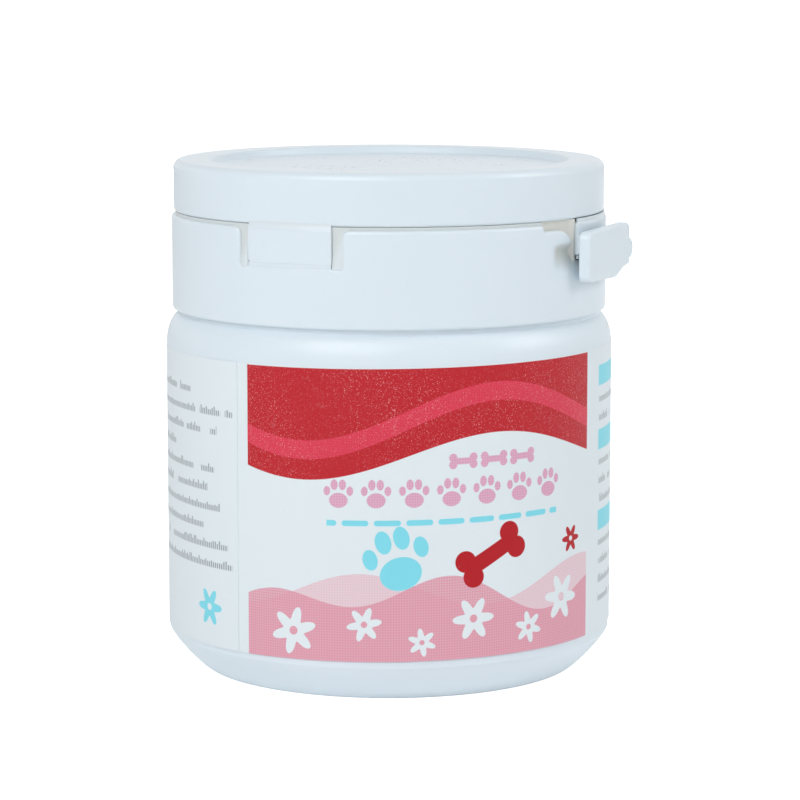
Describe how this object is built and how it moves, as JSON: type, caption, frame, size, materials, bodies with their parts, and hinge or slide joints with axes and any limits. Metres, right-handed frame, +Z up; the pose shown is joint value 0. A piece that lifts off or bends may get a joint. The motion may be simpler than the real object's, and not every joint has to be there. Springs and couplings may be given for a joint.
{
  "type": "powder jar with tear-strip flip cap",
  "caption": "Small round plastic jar for grooming powder, with a wrap label and a press-on cap whose film-hinged lid is held by a tear strip with a pull tab.",
  "frame": {"origin": "centre of the jar's flat base, where it stands", "axes": "+Z up the jar's axis; -Y faces the viewer of the picture; the cap's hinge is at the front left and the pull tab at the right"},
  "size_m": [0.0439, 0.042, 0.0478],
  "materials": {
    "jar_plastic": "satin white polyethylene",
    "cap_plastic": "satin white polypropylene",
    "label_paper": "printed and varnished",
    "loose_powder": "dull"
  },
  "bodies": {
    "jar": {"jar_body": "jar_plastic", "wrap_label": "label_paper", "powder_fill": "loose_powder", "cap_collar": "cap_plastic"},
    "strap": {"hinge_strap": "cap_plastic"},
    "lid": {"flip_lid": "cap_plastic"},
    "strip": {"tear_strip": "cap_plastic"},
    "tab": {"pull_tab": "cap_plastic"}
  },
  "joints": [
    {"name": "strap_fold", "type": "hinge", "parent": "jar", "child": "strap", "pos_m": [-0.00902, -0.01832, 0.03942], "axis": [0.8973, -0.4415, 0], "range_deg": [0, 80]},
    {"name": "lid_fold", "type": "hinge", "parent": "strap", "child": "lid", "pos_m": [-0.00902, -0.01832, 0.04285], "axis": [0.8973, -0.4415, 0], "range_deg": [0, 80]},
    {"name": "strip_peel", "type": "hinge", "parent": "jar", "child": "strip", "pos_m": [-0.01921, 0.00692, 0.04113], "axis": [0, 0, 1], "range_deg": [0, 100]},
    {"name": "tab_pull", "type": "hinge", "parent": "strip", "child": "tab", "pos_m": [0.01722, -0.01226, 0.04113], "axis": [0, 0, -1], "range_deg": [0, 70], "stiffness_Nm_per_rad": 0.0005}
  ],
  "couplings": [
    {"joint": "strap_fold", "follows": "lid_fold", "ratio": 1}
  ]
}
